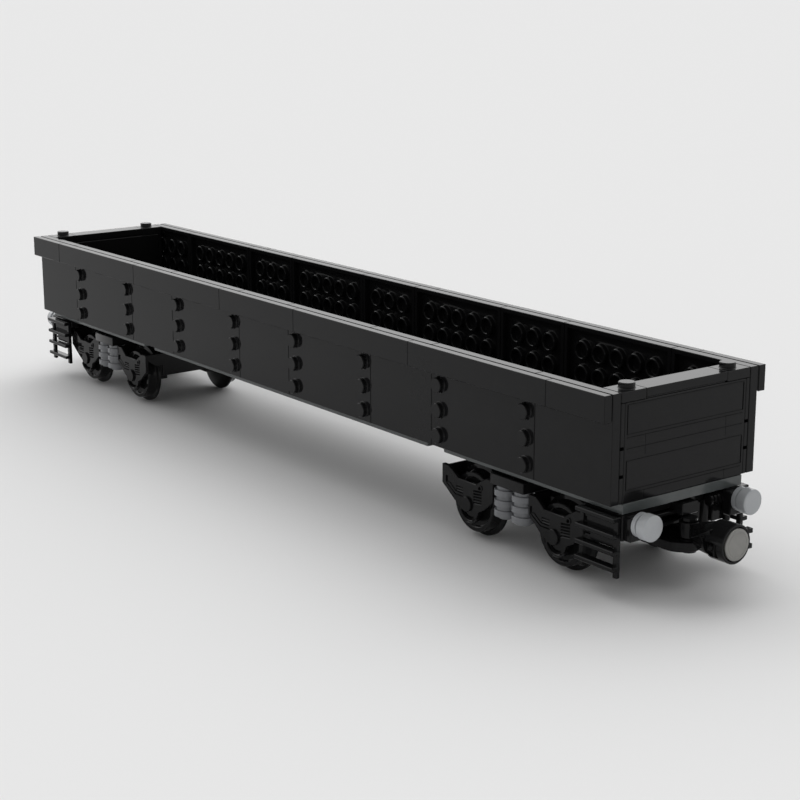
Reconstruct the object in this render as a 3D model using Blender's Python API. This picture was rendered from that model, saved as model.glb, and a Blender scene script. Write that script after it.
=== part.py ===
"""An open gondola wagon built from toy building bricks, on two four-wheeled bogies.

+X is the front of the wagon and +Z is up. The wheels stand on z = 0, and the origin is under the middle
of the wagon. The right side is -Y. Both ends are alike, so rear pieces are front pieces turned half round.
"""

import math

import bmesh
import bpy
from mathutils import Matrix, Vector

MM = 0.001
HALF_TURN = math.pi

# The building-brick grid, which places every piece of the body
PITCH = 8.0 * MM
PLATE = 3.2 * MM
BRICK = 3 * PLATE
STUD_RADIUS = 2.4 * MM
STUD_HEIGHT = 1.7 * MM
BRACKET = 1.6 * MM
CLEARANCE = 0.1 * MM  # a piece ends this far inside its grid cell, on every side
OVERLAP = 0.5 * MM  # how far shapes that are joined reach into each other

# Wheels and the heights that follow from them
FLANGE_RADIUS = 11.4 * MM
TREAD_RADIUS = 9.8 * MM
AXLE_HEIGHT = FLANGE_RADIUS
WALL_FOOT = AXLE_HEIGHT + 16.8 * MM
UNDERSIDE = WALL_FOOT - PLATE

# The body
HALF_LENGTH = 22 * PITCH
HALF_BEAM = 3 * PITCH
WALL_INNER = HALF_BEAM + BRACKET
WALL_OUTER = WALL_INNER + PLATE
WALL_HEIGHT = 4 * PITCH
RIM_DEPTH = PITCH
PANEL_STUDS = (4, 6, 4, 6, 4, 6, 4, 6, 4)  # widths of the side panels, from the front
RIM_STUDS = (3, 8, 8, 6, 8, 8, 3)  # widths of the rim boards, from the front
STUD_ROWS = (0.5, 1.5, 2.5)  # heights of the panels' studs above the wall foot, in pitches
BASE_PLATES = (("base_plate_front", 12, 22), ("base_plate_middle", -11, 11), ("base_plate_rear", -22, -12))
SEAM_WIDTH = 0.4 * MM
SEAM_DEPTH = 0.4 * MM

# Buffers and ladders
BUFFER_HALF_SPACING = 2.5 * PITCH
BUFFER_HEIGHT = WALL_FOOT - 5.8 * MM
BUFFER_BLOCK_FOOT = WALL_FOOT - 11.0 * MM
LADDER_FOOT = 6.6 * MM
STEP_SPACING = 4.8 * MM
TOP_STEP = WALL_FOOT - 3.7 * MM

# Bogies
BOGIE_X = 16 * PITCH
HALF_WHEELBASE = 2.5 * PITCH
BOGIE_HALF_LENGTH = 4 * PITCH
BOLSTER_TOP = UNDERSIDE - 0.4 * MM
BOLSTER_FOOT = 21.6 * MM
CROSSBEAM_FOOT = 21.2 * MM
HOLDER_TOP = 21.2 * MM
SPRING_Y = 2.7 * PITCH
TONGUE_FOOT = 11.2 * MM
TONGUE_TOP = 14.0 * MM
BOSS_TOP = 14.4 * MM

# Couplers
COUPLER_X = 178.4 * MM
COUPLER_AXIS_HEIGHT = 17.1 * MM
MAGNET_FACE_X = 196.8 * MM
EYE_FOOT = 14.8 * MM
EYE_TOP = 19.4 * MM
PIN_RADIUS = 1.5 * MM
PIN_BORE = 1.8 * MM

AXES = {"X": Matrix.Rotation(math.radians(90), 4, "Y"), "Y": Matrix.Rotation(math.radians(-90), 4, "X")}


def material(name, colour, roughness, metallic=0.0):
    """A Principled BSDF material, also with its viewport colour."""
    made = bpy.data.materials.new(name)
    made.use_nodes = True
    shader = made.node_tree.nodes["Principled BSDF"]
    shader.inputs["Base Color"].default_value = (*colour, 1.0)
    shader.inputs["Roughness"].default_value = roughness
    shader.inputs["Metallic"].default_value = metallic
    made.diffuse_color = (*colour, 1.0)
    return made


# Shapes: each returns a closed mesh


def finished(bm):
    """The bmesh as a mesh, with its faces pointing out and its round sides smooth."""
    bmesh.ops.recalc_face_normals(bm, faces=bm.faces)
    mesh = bpy.data.meshes.new("shape")
    bm.to_mesh(mesh)
    bm.free()
    mesh.shade_smooth()
    mesh.set_sharp_from_angle(angle=math.radians(30))
    return mesh


def block(low, high):
    """A box between two corners."""
    bm = bmesh.new()
    size = Vector(high) - Vector(low)
    middle = (Vector(high) + Vector(low)) / 2
    bmesh.ops.create_cube(bm, size=1, matrix=Matrix.Translation(middle) @ Matrix.Diagonal((*size, 1)))
    return finished(bm)


def cell(low, high):
    """A box that keeps CLEARANCE from its grid cell's borders."""
    inset = Vector((CLEARANCE,) * 3)
    return block(Vector(low) + inset, Vector(high) - inset)


def prism(outline, low, high, axis="Z"):
    """An outline drawn across an axis, stretched along it. Across X it is (y, z), across Y (x, z), across Z (x, y)."""
    places = {
        "X": lambda u, v, t: (t, u, v),
        "Y": lambda u, v, t: (u, t, v),
        "Z": lambda u, v, t: (u, v, t),
    }
    place = places[axis]
    bm = bmesh.new()
    ends = [[bm.verts.new(place(u, v, t)) for u, v in outline] for t in (low, high)]
    for ring in ends:
        bm.faces.new(ring)
    for i in range(len(outline)):
        j = (i + 1) % len(outline)
        bm.faces.new((ends[0][i], ends[0][j], ends[1][j], ends[1][i]))
    return finished(bm)


def turned(profile, axis="Z", centre=(0, 0, 0), segments=16):
    """A profile of (distance along the axis, radius), from end to end, turned about the axis through centre."""
    bm = bmesh.new()
    rings = []
    for along, radius in profile:
        angles = [2 * HALF_TURN * k / segments for k in range(segments)]
        rings.append([bm.verts.new((radius * math.cos(a), radius * math.sin(a), along)) for a in angles])
    for near, far in zip(rings, rings[1:]):
        for k in range(segments):
            n = (k + 1) % segments
            bm.faces.new((near[k], near[n], far[n], far[k]))
    bm.faces.new(rings[0])
    bm.faces.new(rings[-1])
    turn = AXES.get(axis, Matrix.Identity(4))
    bm.transform(Matrix.Translation(centre) @ turn)
    return finished(bm)


def rod(low, high, radius, axis="Z", centre=(0, 0, 0), segments=16):
    return turned([(low, radius), (high, radius)], axis, centre, segments)


def hull(points):
    """The convex hull of the points."""
    bm = bmesh.new()
    for point in points:
        bm.verts.new(point)
    result = bmesh.ops.convex_hull(bm, input=bm.verts)
    bmesh.ops.delete(bm, geom=[v for v in result["geom_interior"] if v.is_valid], context="VERTS")
    return finished(bm)


def arc(centre, radius, start, end, steps):
    """Points of an arc, with its angles in degrees."""
    angles = [math.radians(start + (end - start) * k / steps) for k in range(steps + 1)]
    return [(centre[0] + radius * math.cos(a), centre[1] + radius * math.sin(a)) for a in angles]


def joined(shapes, cutters=()):
    """One mesh: the union of the shapes, less the cutters."""
    body, *others = [bpy.data.objects.new("scratch", shape) for shape in (*shapes, *cutters)]
    for obj in (body, *others):
        bpy.context.scene.collection.objects.link(obj)
    for index, other in enumerate(others):
        modifier = body.modifiers.new("join", "BOOLEAN")
        modifier.operation = "UNION" if index < len(shapes) - 1 else "DIFFERENCE"
        modifier.object = other
    graph = bpy.context.evaluated_depsgraph_get()
    mesh = bpy.data.meshes.new_from_object(body.evaluated_get(graph))
    for obj in (body, *others):
        bpy.data.objects.remove(obj)
    mesh.shade_smooth()
    mesh.set_sharp_from_angle(angle=math.radians(30))
    return mesh


def add(name, mesh, finish, location=(0, 0, 0), turn=0.0, parent=None):
    """Puts a piece of this mesh into the scene."""
    mesh.materials.clear()
    mesh.materials.append(finish)
    mesh.name = name
    obj = bpy.data.objects.new(name, mesh)
    bpy.context.scene.collection.objects.link(obj)
    obj.location = location
    obj.rotation_euler = (0, 0, turn)
    obj.parent = parent
    return obj


def pivot(name, location, turn=0.0, parent=None):
    """An empty on a joint's axis, which carries the moving pieces."""
    empty = bpy.data.objects.new(name, None)
    bpy.context.scene.collection.objects.link(empty)
    empty.location = location
    empty.rotation_euler = (0, 0, turn)
    empty.parent = parent
    return empty


# The body's pieces


def wall_panel(studs):
    """A plate on its side, outward face to -Y. Panels six studs wide carry studs along both edges."""
    half = studs * PITCH / 2
    shapes = [cell((-half, -PLATE, 0), (half, 0, WALL_HEIGHT))]
    columns = (-half + PITCH / 2, half - PITCH / 2) if studs == 6 else ()
    for x in columns:
        for row in STUD_ROWS:
            centre = (x, 0, row * PITCH)
            shapes.append(rod(-PLATE - STUD_HEIGHT, -PLATE + OVERLAP, STUD_RADIUS, "Y", centre, 12))
    return joined(shapes)


def seams(widths):
    """The places between pieces of these widths, from the front end."""
    x = HALF_LENGTH
    for width in widths[:-1]:
        x -= width * PITCH
        yield x


def rim_rail():
    """The boards along the top of a side wall, outward face to -Y, with the seams between them."""
    low = (-HALF_LENGTH, -PLATE, WALL_HEIGHT - RIM_DEPTH)
    rail = cell(low, (HALF_LENGTH, 0, WALL_HEIGHT))
    cutters = [
        block((x - SEAM_WIDTH / 2, -2 * PLATE, 0), (x + SEAM_WIDTH / 2, -PLATE + SEAM_DEPTH, 2 * WALL_HEIGHT))
        for x in seams(RIM_STUDS)
    ]
    return joined([rail], cutters)


def end_wall():
    """The courses under the end cap, outward face to +X at x = 0, with bracket flanges beside them."""
    wall = cell((-PITCH, -WALL_INNER, 0), (0, WALL_INNER, WALL_HEIGHT - PLATE))
    courses = (PLATE, PLATE + BRICK, 2 * PLATE + BRICK, 3 * PLATE + BRICK)
    cutters = [
        block((-SEAM_DEPTH, -HALF_BEAM, z - SEAM_WIDTH / 2), (PITCH, HALF_BEAM, z + SEAM_WIDTH / 2))
        for z in courses
    ]
    return joined([wall], cutters)


def end_cap():
    """The top course of an end wall: a long tile between two plates that keep their studs."""
    shapes = [cell((-PITCH, -WALL_INNER, 0), (0, WALL_INNER, PLATE))]
    cutters = []
    for side in (-1, 1):
        centre = (-PITCH / 2, side * 2.5 * PITCH, PLATE)
        shapes.append(rod(-OVERLAP, STUD_HEIGHT, STUD_RADIUS, "Z", centre, 16))
        seam = side * 2 * PITCH
        cutters.append(
            block((-SEAM_DEPTH, seam - SEAM_WIDTH / 2, -PLATE), (PITCH, seam + SEAM_WIDTH / 2, 2 * PLATE))
        )
    return joined(shapes, cutters)


def headstock():
    """The beam under an end, x = 0 at the end face, z = 0 at the wall foot, with its buffer blocks."""
    beam_top = -PLATE - CLEARANCE
    beam_foot = -2 * PLATE + CLEARANCE
    block_foot = BUFFER_BLOCK_FOOT - WALL_FOOT
    edge = HALF_BEAM - CLEARANCE
    shapes = [block((-PITCH + CLEARANCE, -edge, beam_foot), (-CLEARANCE, edge, beam_top))]
    for side in (-1, 1):
        y = sorted((side * edge, side * 2 * PITCH))
        shapes.append(block((-PITCH + CLEARANCE, y[0], block_foot), (-CLEARANCE, y[1], beam_foot + OVERLAP)))
        y = sorted((side * edge, side * (edge - PLATE)))
        shapes.append(block((-2 * PITCH + CLEARANCE, y[0], beam_foot), (-PITCH + OVERLAP, y[1], beam_top)))
    return joined(shapes)


def buffer():
    """A buffer along +X: a stud, a round plate and a cap with a chamfered rim."""
    stud_end = STUD_HEIGHT
    plate_radius = 3.9 * MM
    cap_radius = 4.0 * MM
    plate_end = stud_end + PLATE - 0.3 * MM
    cap_start = stud_end + PLATE
    cap_end = cap_start + PLATE
    chamfer = 0.5 * MM
    profile = [
        (CLEARANCE, STUD_RADIUS),
        (stud_end, STUD_RADIUS),
        (stud_end, plate_radius),
        (plate_end, plate_radius),
        (plate_end, 3.2 * MM),
        (cap_start, 3.2 * MM),
        (cap_start, cap_radius),
        (cap_end - chamfer, cap_radius),
        (cap_end, cap_radius - chamfer),
    ]
    return turned(profile, "X", segments=20)


def ladder():
    """A corner ladder with its steps facing -Y, and z = 0 on the ground."""
    half = PITCH - CLEARANCE
    leg_outer = half - 0.1 * MM
    leg_inner = half - 1.8 * MM
    plate_x = half - 0.2 * MM
    shapes = [block((-plate_x, -1.0 * MM, WALL_FOOT - 13.0 * MM), (plate_x, -CLEARANCE, TOP_STEP - 0.3 * MM))]
    for side in (-1, 1):
        x = sorted((side * leg_outer, side * leg_inner))
        shapes.append(block((x[0], -1.5 * MM, LADDER_FOOT), (x[1], -0.2 * MM, TOP_STEP - 0.1 * MM)))
    for step in range(4):
        z = TOP_STEP - step * STEP_SPACING
        shapes.append(block((-half, -3.3 * MM, z - 1.3 * MM), (half, -0.3 * MM, z)))
    return joined(shapes)


def king_pin():
    """The pin under the floor that a bogie turns on, with the flange that holds the bogie up to it."""
    head_top = CROSSBEAM_FOOT - 0.3 * MM
    profile = [
        (head_top - 1.7 * MM, 5.0 * MM),
        (head_top, 5.0 * MM),
        (head_top, 3.0 * MM),
        (UNDERSIDE - CLEARANCE, 3.0 * MM),
    ]
    return turned(profile, segments=20)


# The bogie's pieces, about its pivot, with the coupler end to +X


def bolster():
    """The plate that joins the wheel holders, its crossbeam, and the tongue that carries the coupler."""
    plate_y = 2 * PITCH - 0.2 * MM
    plate_x = BOGIE_HALF_LENGTH - 0.2 * MM
    beam_x = PITCH - 0.2 * MM
    beam_y = WALL_INNER - CLEARANCE
    web_x = BOGIE_HALF_LENGTH + 0.2 * MM
    web_thickness = 2.2 * MM
    tongue_y = 6.4 * MM
    tip_x = COUPLER_X - BOGIE_X
    tongue = [(web_x, -tongue_y), (tip_x - 3.0 * MM, -tongue_y)]
    tongue += arc((tip_x - 3.0 * MM, 0), tongue_y, -75, 75, 8)
    tongue += [(tip_x - 3.0 * MM, tongue_y), (web_x, tongue_y)]
    shapes = [
        block((-plate_x, -plate_y, BOLSTER_FOOT), (plate_x, plate_y, BOLSTER_TOP)),
        block((-beam_x, -beam_y, CROSSBEAM_FOOT), (beam_x, beam_y, BOLSTER_TOP)),
        block((plate_x - OVERLAP, -tongue_y, BOLSTER_FOOT), (web_x + web_thickness, tongue_y, BOLSTER_TOP)),
        block((web_x, -tongue_y, TONGUE_FOOT), (web_x + web_thickness, tongue_y, BOLSTER_FOOT + OVERLAP)),
        prism(tongue, TONGUE_FOOT, TONGUE_TOP),
        rod(TONGUE_TOP - OVERLAP, BOSS_TOP, 2.8 * MM, "Z", (tip_x, 0, 0), 16),
    ]
    cutters = [
        rod(0, 2 * BOLSTER_TOP, 3.4 * MM, segments=20),
        rod(0, BOLSTER_TOP, PIN_BORE, "Z", (tip_x, 0, 0), 16),
    ]
    return joined(shapes, cutters)


def side_frame_outline():
    """Half the outline of an axle's side frame, as (x, z) from the axle, mirrored into the whole."""
    top = HOLDER_TOP - AXLE_HEIGHT
    half = [(4.7, 6.8), (8.7, None), (11.8, None), (11.8, 3.3), (7.6, -0.5), (4.2, -2.1), (2.6, -5.6), (1.2, -6.7)]
    right = [(x * MM, top if z is None else z * MM) for x, z in half]
    return right + [(-x, z) for x, z in reversed(right)]


def wheel_holder():
    """The holder of one axle, about the axle's middle: its roof, end walls, bearings and side frames."""
    roof_top = HOLDER_TOP - AXLE_HEIGHT
    roof_foot = roof_top - 1.8 * MM
    roof_y = 2 * PITCH - 0.2 * MM
    end_x = 11.8 * MM
    end_thickness = 1.0 * MM
    frame_inner = 22.0 * MM
    frame_outer = 23.4 * MM
    boss_outer = 24.4 * MM
    arch_y = 15.6 * MM
    arch_top = 4.8 * MM
    end_foot = 1.8 * MM
    bearing_y = (9.0 * MM, 13.0 * MM)
    bearing_x = 3.0 * MM
    end_half = [(arch_y, end_foot), (arch_y, arch_top), (18.6 * MM, arch_top), (frame_inner + OVERLAP, 7.6 * MM)]
    end_half.append((frame_inner + OVERLAP, roof_top))
    end_outline = end_half + [(-y, z) for y, z in reversed(end_half)]
    shapes = [block((-end_x, -roof_y, roof_foot), (end_x, roof_y, roof_top))]
    for side in (-1, 1):
        x = sorted((side * end_x, side * (end_x - end_thickness)))
        shapes.append(prism(end_outline, *x, "X"))
        y = sorted((side * frame_inner, side * frame_outer))
        shapes.append(prism(side_frame_outline(), *y, "Y"))
        y = sorted((side * (frame_outer - OVERLAP), side * boss_outer))
        shapes.append(rod(*y, 2.4 * MM, "Y", segments=12))
        y = sorted(side * edge for edge in bearing_y)
        shapes.append(block((-bearing_x, y[0], -bearing_x), (bearing_x, y[1], roof_foot + OVERLAP)))
    bore = rod(-roof_y, roof_y, PIN_BORE, "Y", segments=16)
    return joined(shapes, [bore])


def spring_pair():
    """Two stacks of small round plates under one end of the crossbeam, joined by a bridge at the top."""
    plate_radius = 3.8 * MM
    neck_radius = 3.1 * MM
    foot_radius = 2.4 * MM
    top = CROSSBEAM_FOOT - 0.2 * MM
    stacks = []
    for side in (-1, 1):
        profile = [(top, plate_radius)]
        for plate in range(3):
            upper = top - plate * PLATE
            neck = upper - 2.0 * MM
            lower = upper - PLATE
            profile += [(neck, plate_radius), (neck, neck_radius), (lower, neck_radius)]
            if plate < 2:
                profile.append((lower, plate_radius))
        profile += [(profile[-1][0], foot_radius), (profile[-1][0] - 0.9 * MM, foot_radius)]
        stacks.append(turned(list(reversed(profile)), centre=(side * PITCH / 2, 0, 0), segments=12))
    bridge = block((-PITCH / 4, -2.0 * MM, top - 1.6 * MM), (PITCH / 4, 2.0 * MM, top - 0.2 * MM))
    return joined([stacks[0], bridge, stacks[1]])


def wheelset():
    """Two flanged wheels on their axle, along Y through the origin."""
    wheel = [
        (15.6, 1.5),
        (15.6, 3.2),
        (16.4, 3.6),
        (16.4, FLANGE_RADIUS / MM - 0.4),
        (16.7, FLANGE_RADIUS / MM),
        (17.3, FLANGE_RADIUS / MM),
        (17.9, TREAD_RADIUS / MM),
        (21.3, TREAD_RADIUS / MM - 0.3),
        (21.3, 7.8),
        (20.6, 7.2),
        (20.6, 3.0),
        (21.6, 2.4),
    ]
    right = [(y * MM, radius * MM) for y, radius in wheel]
    return turned([(-y, radius) for y, radius in reversed(right)] + right, "Y", segments=20)


def coupler_pin():
    """The pin through the tongue and the coupler's eye."""
    head_radius = 2.4 * MM
    foot_top = TONGUE_FOOT - 0.2 * MM
    head_foot = EYE_TOP + 0.4 * MM
    profile = [
        (foot_top - 0.6 * MM, head_radius),
        (foot_top, head_radius),
        (foot_top, PIN_RADIUS),
        (head_foot, PIN_RADIUS),
        (head_foot, head_radius),
        (head_foot + 0.8 * MM, head_radius),
    ]
    return turned(profile, segments=16)


# The coupler's pieces, about its pin


def coupler():
    """An eye round the pin, an arm that widens to the front, and the socket for the magnet."""
    eye_radius = 3.2 * MM
    neck_x = 2.3 * MM
    belly_x = 5.8 * MM
    socket_x = 11.8 * MM
    socket_radius = 5.75 * MM
    front_x = MAGNET_FACE_X - 0.5 * MM - COUPLER_X
    neck = [(neck_x, y, z) for y in (-2.2 * MM, 2.2 * MM) for z in (EYE_FOOT + 0.7 * MM, EYE_TOP - 0.2 * MM)]
    belly = [(belly_x, y, COUPLER_AXIS_HEIGHT - 4.3 * MM) for y in (-2.2 * MM, 2.2 * MM)]
    rim = [(socket_x, y, z) for y, z in arc((0, COUPLER_AXIS_HEIGHT), socket_radius, 0, 342, 19)]
    shapes = [
        rod(EYE_FOOT, EYE_TOP, eye_radius, segments=16),
        hull(neck + belly + rim),
        rod(socket_x - OVERLAP, front_x, socket_radius, "X", (0, 0, COUPLER_AXIS_HEIGHT), 20),
    ]
    bore = rod(0, 2 * EYE_TOP, PIN_BORE, segments=16)
    socket = rod(front_x - 3.4 * MM, 2 * front_x, 5.05 * MM, "X", (0, 0, COUPLER_AXIS_HEIGHT), 20)
    return joined(shapes, [bore, socket])


def magnet():
    """A round magnet along +X, its face at x = 0, with a chamfered rim."""
    radius = 4.7 * MM
    thickness = 3.6 * MM
    chamfer = 0.3 * MM
    return turned([(-thickness, radius), (-chamfer, radius), (0, radius - chamfer)], "X", segments=20)


# The assembly


def build_body(black, grey, light_grey):
    for name, low, high in BASE_PLATES:
        plate = cell((low * PITCH, -HALF_BEAM, 0), (high * PITCH, HALF_BEAM, PLATE))
        add(name, plate, grey, (0, 0, UNDERSIDE))
    floor_x = HALF_LENGTH - PITCH
    add("deck", cell((-floor_x, -WALL_INNER, 0), (floor_x, WALL_INNER, PLATE)), black, (0, 0, WALL_FOOT))

    panels = {studs: wall_panel(studs) for studs in set(PANEL_STUDS)}
    rail = rim_rail()
    for side, sign, turn in (("right", -1, 0.0), ("left", 1, HALF_TURN)):
        edge = HALF_LENGTH
        for number, studs in enumerate(PANEL_STUDS, start=1):
            middle = edge - studs * PITCH / 2
            edge -= studs * PITCH
            place = (middle, sign * WALL_INNER, WALL_FOOT)
            add(f"side_panel_{side}_{number}", panels[studs], black, place, turn)
        add(f"rim_rail_{side}", rail, black, (0, sign * WALL_OUTER, WALL_FOOT), turn)

    wall, cap, beam, bumper, steps, pin = end_wall(), end_cap(), headstock(), buffer(), ladder(), king_pin()
    for end, sign, turn in (("front", 1, 0.0), ("rear", -1, HALF_TURN)):
        add(f"end_wall_{end}", wall, black, (sign * HALF_LENGTH, 0, WALL_FOOT), turn)
        add(f"end_cap_{end}", cap, black, (sign * HALF_LENGTH, 0, WALL_FOOT + WALL_HEIGHT - PLATE), turn)
        add(f"headstock_{end}", beam, black, (sign * HALF_LENGTH, 0, WALL_FOOT), turn)
        add(f"king_pin_{end}", pin, grey, (sign * BOGIE_X, 0, 0))
        for side, across, facing in (("right", -1, 0.0), ("left", 1, HALF_TURN)):
            place = (sign * HALF_LENGTH, across * BUFFER_HALF_SPACING, BUFFER_HEIGHT)
            add(f"buffer_{end}_{side}", bumper, light_grey, place, turn)
            place = (sign * (HALF_LENGTH - PITCH), across * HALF_BEAM, 0)
            add(f"ladder_{end}_{side}", steps, black, place, facing)


def build_bogies(black, light_grey, steel):
    meshes = {
        "bolster": bolster(),
        "holder": wheel_holder(),
        "springs": spring_pair(),
        "wheels": wheelset(),
        "pin": coupler_pin(),
        "coupler": coupler(),
        "magnet": magnet(),
    }
    for end, sign, turn in (("front", 1, 0.0), ("rear", -1, HALF_TURN)):
        bogie = pivot(f"bogie_{end}_pivot", (sign * BOGIE_X, 0, 0), turn)
        add(f"bolster_{end}", meshes["bolster"], black, parent=bogie)
        for place, along in (("outer", HALF_WHEELBASE), ("inner", -HALF_WHEELBASE)):
            axle = (along, 0, AXLE_HEIGHT)
            add(f"wheel_holder_{end}_{place}", meshes["holder"], black, axle, parent=bogie)
            add(f"wheelset_{end}_{place}", meshes["wheels"], black, axle, parent=bogie)
        for side, across in (("right", -1), ("left", 1)):
            # The rear bogie is turned half round, so its right side lies at +Y of its own pivot.
            y = sign * across * SPRING_Y
            add(f"spring_pair_{end}_{side}", meshes["springs"], light_grey, (0, y, 0), parent=bogie)
        arm = (COUPLER_X - BOGIE_X, 0, 0)
        add(f"coupler_pin_{end}", meshes["pin"], steel, arm, parent=bogie)
        head = pivot(f"coupler_{end}_pivot", arm, parent=bogie)
        add(f"coupler_{end}", meshes["coupler"], black, parent=head)
        face = (MAGNET_FACE_X - COUPLER_X, 0, COUPLER_AXIS_HEIGHT)
        add(f"magnet_{end}", meshes["magnet"], steel, face, parent=head)


def main():
    for obj in list(bpy.data.objects):
        bpy.data.objects.remove(obj)
    black = material("black_plastic", (0.012, 0.012, 0.013), 0.15)
    grey = material("bluish_grey_plastic", (0.13, 0.15, 0.16), 0.2)
    light_grey = material("light_grey_plastic", (0.36, 0.38, 0.40), 0.25)
    steel = material("nickel_plate", (0.6, 0.6, 0.6), 0.3, 1.0)
    build_body(black, grey, light_grey)
    build_bogies(black, light_grey, steel)


main()
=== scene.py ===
"""The looks of an open gondola wagon built from toy building bricks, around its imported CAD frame.

+X is the front of the wagon, +Z is up, and the right side is -Y. Shapes are drawn in millimetres, each about
its own origin, and finished() turns them into metres. Both ends are alike, so rear pieces are front pieces
turned half round.
"""

import math

import bmesh
import bpy
from mathutils import Matrix, Vector


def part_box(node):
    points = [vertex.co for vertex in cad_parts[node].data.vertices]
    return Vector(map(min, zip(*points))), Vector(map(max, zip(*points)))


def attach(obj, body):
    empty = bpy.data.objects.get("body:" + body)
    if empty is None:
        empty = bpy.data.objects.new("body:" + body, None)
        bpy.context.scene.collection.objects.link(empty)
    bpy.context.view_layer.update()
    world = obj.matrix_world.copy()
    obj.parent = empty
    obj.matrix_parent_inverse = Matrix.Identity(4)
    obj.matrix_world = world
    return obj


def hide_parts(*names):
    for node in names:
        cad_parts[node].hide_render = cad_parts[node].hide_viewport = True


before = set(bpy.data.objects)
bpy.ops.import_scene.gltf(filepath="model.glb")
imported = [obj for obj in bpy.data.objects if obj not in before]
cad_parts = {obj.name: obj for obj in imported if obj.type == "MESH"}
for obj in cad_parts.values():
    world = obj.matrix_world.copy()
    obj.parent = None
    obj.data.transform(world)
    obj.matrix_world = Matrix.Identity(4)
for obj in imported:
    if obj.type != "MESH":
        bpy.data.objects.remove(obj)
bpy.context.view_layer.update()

MM = 0.001
HALF_TURN = math.pi
SHARP = math.radians(30)


def box(node):
    """A CAD node's lowest and highest corner, in millimetres."""
    low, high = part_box(node)
    return low / MM, high / MM


def middle(node):
    low, high = box(node)
    return (low + high) / 2


# The building-brick grid
PITCH = 8.0
PLATE = 3.2
BRICK = 3 * PLATE
GAP = 0.1  # a part ends this far inside its cell of the grid
TIGHT = 0.02  # the same, between courses of one wall
EDGE = 0.14  # chamfer along the edges of a moulded part
OVERLAP = 0.4  # how far shapes that are joined reach into each other
STUD_RADIUS = 2.4
STUD_HEIGHT = 1.7
TUBE_RADIUS = 3.25
SKIN = 1.2
SHELL = 1.5

# The body, from the frame
HALF_LENGTH = box("end_wall_front")[1].x + GAP
WALL_FOOT = box("end_wall_front")[0].z - GAP
WALL_INNER = -box("side_panel_right_1")[1].y - GAP
WALL_OUTER = WALL_INNER + PLATE
WALL_HEIGHT = 4 * PITCH
HALF_BEAM = 3 * PITCH
UNDERSIDE = WALL_FOOT - PLATE
RIM_DEPTH = PITCH
RIM_STUDS = (3, 8, 8, 6, 8, 8, 3)
PANELS = 9
PLAIN, STUDDED = 4, 6  # the two kinds of wall panel, by their width in studs
BRACKET_FACE = 2.9  # how far the brackets behind the buffers stand out from the end

# The bogies, from the frame
BOGIE_X = middle("king_pin_front").x
BOLSTER_TOP = box("bolster_front")[1].z
TONGUE_FOOT = box("bolster_front")[0].z
COUPLER_X = middle("coupler_pin_front").x
COUPLER_AXIS = middle("magnet_front").z
MAGNET_FACE = box("magnet_front")[1].x
AXLE_HEIGHT = middle("wheelset_front_outer").z
FLANGE_RADIUS = box("wheelset_front_outer")[1].z - AXLE_HEIGHT
HOLDER_TOP = box("wheel_holder_front_outer")[1].z
CROSSBEAM_FOOT = HOLDER_TOP
BOLSTER_FOOT = HOLDER_TOP + 0.4

TURNS = {
    "Z": Matrix.Identity(4),
    "-Z": Matrix.Rotation(math.pi, 4, "X"),
    "X": Matrix.Rotation(math.pi / 2, 4, "Y"),
    "-X": Matrix.Rotation(-math.pi / 2, 4, "Y"),
    "Y": Matrix.Rotation(-math.pi / 2, 4, "X"),
    "-Y": Matrix.Rotation(math.pi / 2, 4, "X"),
}


# Shapes: each returns a closed mesh in millimetres


def shape_of(bm):
    """The bmesh as a mesh, with its faces pointing out."""
    bmesh.ops.recalc_face_normals(bm, faces=bm.faces)
    mesh = bpy.data.meshes.new("shape")
    bm.to_mesh(mesh)
    bm.free()
    return mesh


def chamfered(bm, width):
    """Cuts every edge of a bmesh that is sharper than SHARP by this width."""
    if width:
        edges = [edge for edge in bm.edges if edge.calc_face_angle(0) > SHARP]
        bmesh.ops.bevel(bm, geom=edges, offset=width, segments=1, affect="EDGES", clamp_overlap=True)


def block(low, high, edge=EDGE):
    """A box between two corners, with its edges chamfered."""
    bm = bmesh.new()
    size = Vector(high) - Vector(low)
    centre = (Vector(high) + Vector(low)) / 2
    bmesh.ops.create_cube(bm, size=1, matrix=Matrix.Translation(centre) @ Matrix.Diagonal((*size, 1)))
    chamfered(bm, edge)
    return shape_of(bm)


def prism(outline, low, high, axis="Z", edge=EDGE):
    """An outline drawn across an axis, stretched along it.

    Across X the outline is (y, z), across Y it is (x, z), and across Z it is (x, y).
    """
    places = {
        "X": lambda u, v, t: (t, u, v),
        "Y": lambda u, v, t: (u, t, v),
        "Z": lambda u, v, t: (u, v, t),
    }
    place = places[axis]
    bm = bmesh.new()
    ends = [[bm.verts.new(place(u, v, t)) for u, v in outline] for t in (low, high)]
    for ring in ends:
        bm.faces.new(ring)
    for i in range(len(outline)):
        j = (i + 1) % len(outline)
        bm.faces.new((ends[0][i], ends[0][j], ends[1][j], ends[1][i]))
    bmesh.ops.recalc_face_normals(bm, faces=bm.faces)
    chamfered(bm, edge)
    return shape_of(bm)


def turned(profile, axis="Z", centre=(0, 0, 0), segments=32, hollow=False):
    """A profile of (distance along the axis, radius), turned about the axis through centre.

    A hollow one is a ring, whose last point joins its first.
    """
    bm = bmesh.new()
    rings = []
    for along, radius in profile:
        angles = [2 * math.pi * k / segments for k in range(segments)]
        rings.append([bm.verts.new((radius * math.cos(a), radius * math.sin(a), along)) for a in angles])
    pairs = list(zip(rings, rings[1:]))
    if hollow:
        pairs.append((rings[-1], rings[0]))
    else:
        bm.faces.new(rings[0])
        bm.faces.new(rings[-1])
    for near, far in pairs:
        for k in range(segments):
            n = (k + 1) % segments
            bm.faces.new((near[k], near[n], far[n], far[k]))
    bm.transform(Matrix.Translation(centre) @ TURNS[axis])
    return shape_of(bm)


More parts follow.
